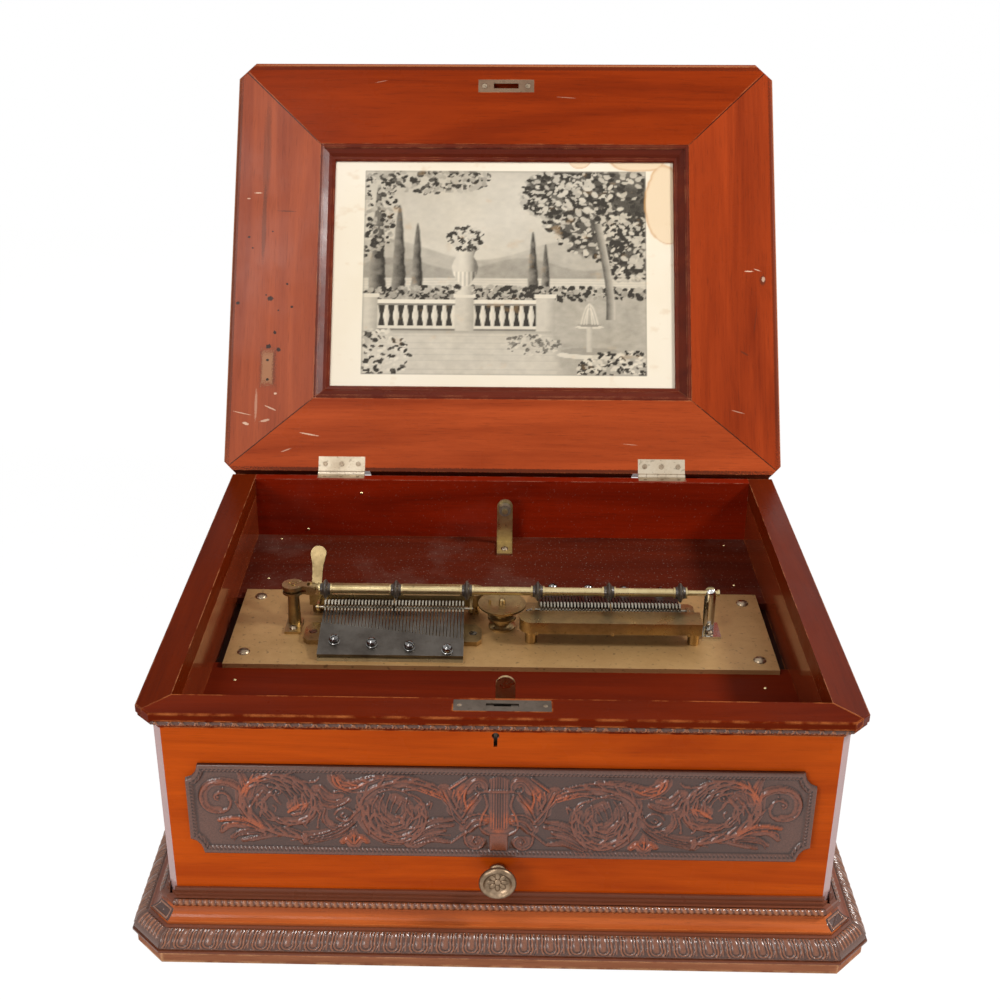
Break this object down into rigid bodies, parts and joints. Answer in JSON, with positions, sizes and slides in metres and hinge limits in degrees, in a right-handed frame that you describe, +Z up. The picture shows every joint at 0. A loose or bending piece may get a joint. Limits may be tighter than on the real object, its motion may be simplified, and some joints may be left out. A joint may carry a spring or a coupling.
{
  "type": "disc music box",
  "caption": "Table disc music box: moulded wooden case with carved front, open lid with a framed print, and a two-comb movement on a gilt bedplate.",
  "frame": {"origin": "centre of the foot board on the ground", "axes": "+Z up, -Y towards the carved front, +X to the right as seen from the front"},
  "size_m": [0.538, 0.6587, 0.54],
  "materials": {
    "wood_board": "satin",
    "wood_base": "polished, worn",
    "wood_front": "french polished",
    "wood_inside": "stained, satin",
    "wood_carved": "waxed",
    "wood_rim": "french polished",
    "wood_lid": "french polished",
    "wood_moulding": "polished",
    "gilt_iron": "gilt paint, matt",
    "comb_steel": "dark, aged",
    "brass": "aged",
    "black_steel": "blued",
    "star_steel": "aged",
    "nickel": "nickel plated",
    "lock_steel": "dull",
    "hinge_metal": "pale, worn",
    "knob_metal": "worn",
    "paper": "aged paper on card",
    "roller_black": "black, satin"
  },
  "bodies": {
    "case": {"foot_board": "wood_board", "base_rail_front": "wood_base", "base_rail_rear": "wood_base", "base_rail_left": "wood_base", "base_rail_right": "wood_base", "front_wall": "wood_front", "rear_wall": "wood_inside", "left_wall": "wood_front", "right_wall": "wood_front", "carved_panel": "wood_carved", "rim_front": "wood_rim", "rim_left": "wood_rim", "rim_right": "wood_rim", "front_deck": "wood_inside", "rear_deck": "wood_inside", "well_bearers": "wood_inside", "bedplate": "gilt_iron", "left_comb": "comb_steel", "right_comb": "comb_steel", "comb_beds": "brass", "comb_screws": "black_steel", "gantries": "brass", "spindle_pedestal": "brass", "left_post": "brass", "right_post": "nickel", "edge_brackets": "brass", "rim_lock": "lock_steel", "case_hinge_leaves": "hinge_metal", "motor_frame": "brass", "winding_escutcheon": "brass", "case_screws": "hinge_metal"},
    "lid": {"lid_rail_front": "wood_lid", "lid_rail_rear": "wood_lid", "lid_rail_left": "wood_lid", "lid_rail_right": "wood_lid", "lid_panel": "wood_lid", "picture_print": "paper", "lid_moulding": "wood_moulding", "lid_strike": "hinge_metal", "lid_hinge_leaves": "hinge_metal", "lid_screws": "hinge_metal"},
    "bar": {"pressure_bar": "brass", "thumb_tongue": "brass"},
    "bar_roller_1": {"roller_1": "roller_black"},
    "bar_roller_2": {"roller_2": "roller_black"},
    "bar_roller_3": {"roller_3": "roller_black"},
    "bar_roller_4": {"roller_4": "roller_black"},
    "bar_roller_5": {"roller_5": "roller_black"},
    "bar_roller_6": {"roller_6": "roller_black"},
    "hub": {"turntable": "brass"},
    "left_stars": {"left_star_wheels": "star_steel"},
    "right_stars": {"right_star_wheels": "star_steel"},
    "rear_roller": {"rear_edge_roller": "star_steel"},
    "front_roller": {"front_edge_roller": "star_steel"},
    "bolt": {"lock_bolt": "lock_steel"},
    "knob": {"front_knob": "knob_metal"},
    "barrel": {"spring_barrel": "brass"},
    "winder": {"winding_arbor": "star_steel"},
    "train": {"train_arbor": "brass"},
    "fan": {"governor_fan": "brass"}
  },
  "joints": [
    {"name": "lid_hinge", "type": "hinge", "parent": "case", "child": "lid", "pos_m": [0, 0.2018, 0.20365], "axis": [-1, 0, 0], "range_deg": [-124, 0]},
    {"name": "bar_lift", "type": "hinge", "parent": "case", "child": "bar", "pos_m": [-0.1543, 0.0165, 0.1832], "axis": [0, -1, 0], "range_deg": [0, 75]},
    {"name": "roller_1_turn", "type": "hinge", "parent": "bar", "child": "bar_roller_1", "pos_m": [-0.1431, 0.0165, 0.1832], "axis": [1, 0, 0], "continuous": true},
    {"name": "roller_2_turn", "type": "hinge", "parent": "bar", "child": "bar_roller_2", "pos_m": [-0.0852, 0.0165, 0.1832], "axis": [1, 0, 0], "continuous": true},
    {"name": "roller_3_turn", "type": "hinge", "parent": "bar", "child": "bar_roller_3", "pos_m": [-0.0273, 0.0165, 0.1832], "axis": [1, 0, 0], "continuous": true},
    {"name": "roller_4_turn", "type": "hinge", "parent": "bar", "child": "bar_roller_4", "pos_m": [0.0303, 0.0165, 0.1832], "axis": [1, 0, 0], "continuous": true},
    {"name": "roller_5_turn", "type": "hinge", "parent": "bar", "child": "bar_roller_5", "pos_m": [0.0882, 0.0165, 0.1832], "axis": [1, 0, 0], "continuous": true},
    {"name": "roller_6_turn", "type": "hinge", "parent": "bar", "child": "bar_roller_6", "pos_m": [0.1461, 0.0165, 0.1832], "axis": [1, 0, 0], "continuous": true},
    {"name": "barrel_turn", "type": "hinge", "parent": "case", "child": "barrel", "pos_m": [0.0895, 0.07272, 0.064], "axis": [1, 0, 0], "continuous": true},
    {"name": "train_turn", "type": "hinge", "parent": "case", "child": "train", "pos_m": [0.0615, 0.0165, 0.084], "axis": [1, 0, 0], "continuous": true},
    {"name": "hub_turn", "type": "hinge", "parent": "case", "child": "hub", "pos_m": [0.0015, 0.0165, 0.16], "axis": [0, 0, 1], "continuous": true},
    {"name": "fan_turn", "type": "hinge", "parent": "case", "child": "fan", "pos_m": [-0.0337, 0.0165, 0.12], "axis": [0, 0, 1], "continuous": true},
    {"name": "winding_turn", "type": "hinge", "parent": "case", "child": "winder", "pos_m": [0.1515, 0.07272, 0.064], "axis": [1, 0, 0], "continuous": true},
    {"name": "left_stars_turn", "type": "hinge", "parent": "case", "child": "left_stars", "pos_m": [-0.0865, 0.0165, 0.1662], "axis": [1, 0, 0], "continuous": true},
    {"name": "right_stars_turn", "type": "hinge", "parent": "case", "child": "right_stars", "pos_m": [0.0895, 0.0165, 0.1662], "axis": [1, 0, 0], "continuous": true},
    {"name": "rear_roller_turn", "type": "hinge", "parent": "case", "child": "rear_roller", "pos_m": [0.0038, 0.171, 0.1832], "axis": [0, 1, 0], "continuous": true},
    {"name": "front_roller_turn", "type": "hinge", "parent": "case", "child": "front_roller", "pos_m": [0.0038, -0.136, 0.1832], "axis": [0, 1, 0], "continuous": true},
    {"name": "bolt_slide", "type": "slide", "parent": "case", "child": "bolt", "axis": [0, 0, 1], "range_m": [0, 0.006]},
    {"name": "knob_pull", "type": "slide", "parent": "case", "child": "knob", "axis": [0, -1, 0], "range_m": [0, 0.008]}
  ],
  "couplings": [
    {"joint": "barrel_turn", "follows": "hub_turn", "ratio": 0.13333},
    {"joint": "train_turn", "follows": "hub_turn", "ratio": -0.4},
    {"joint": "fan_turn", "follows": "hub_turn", "ratio": -6}
  ]
}
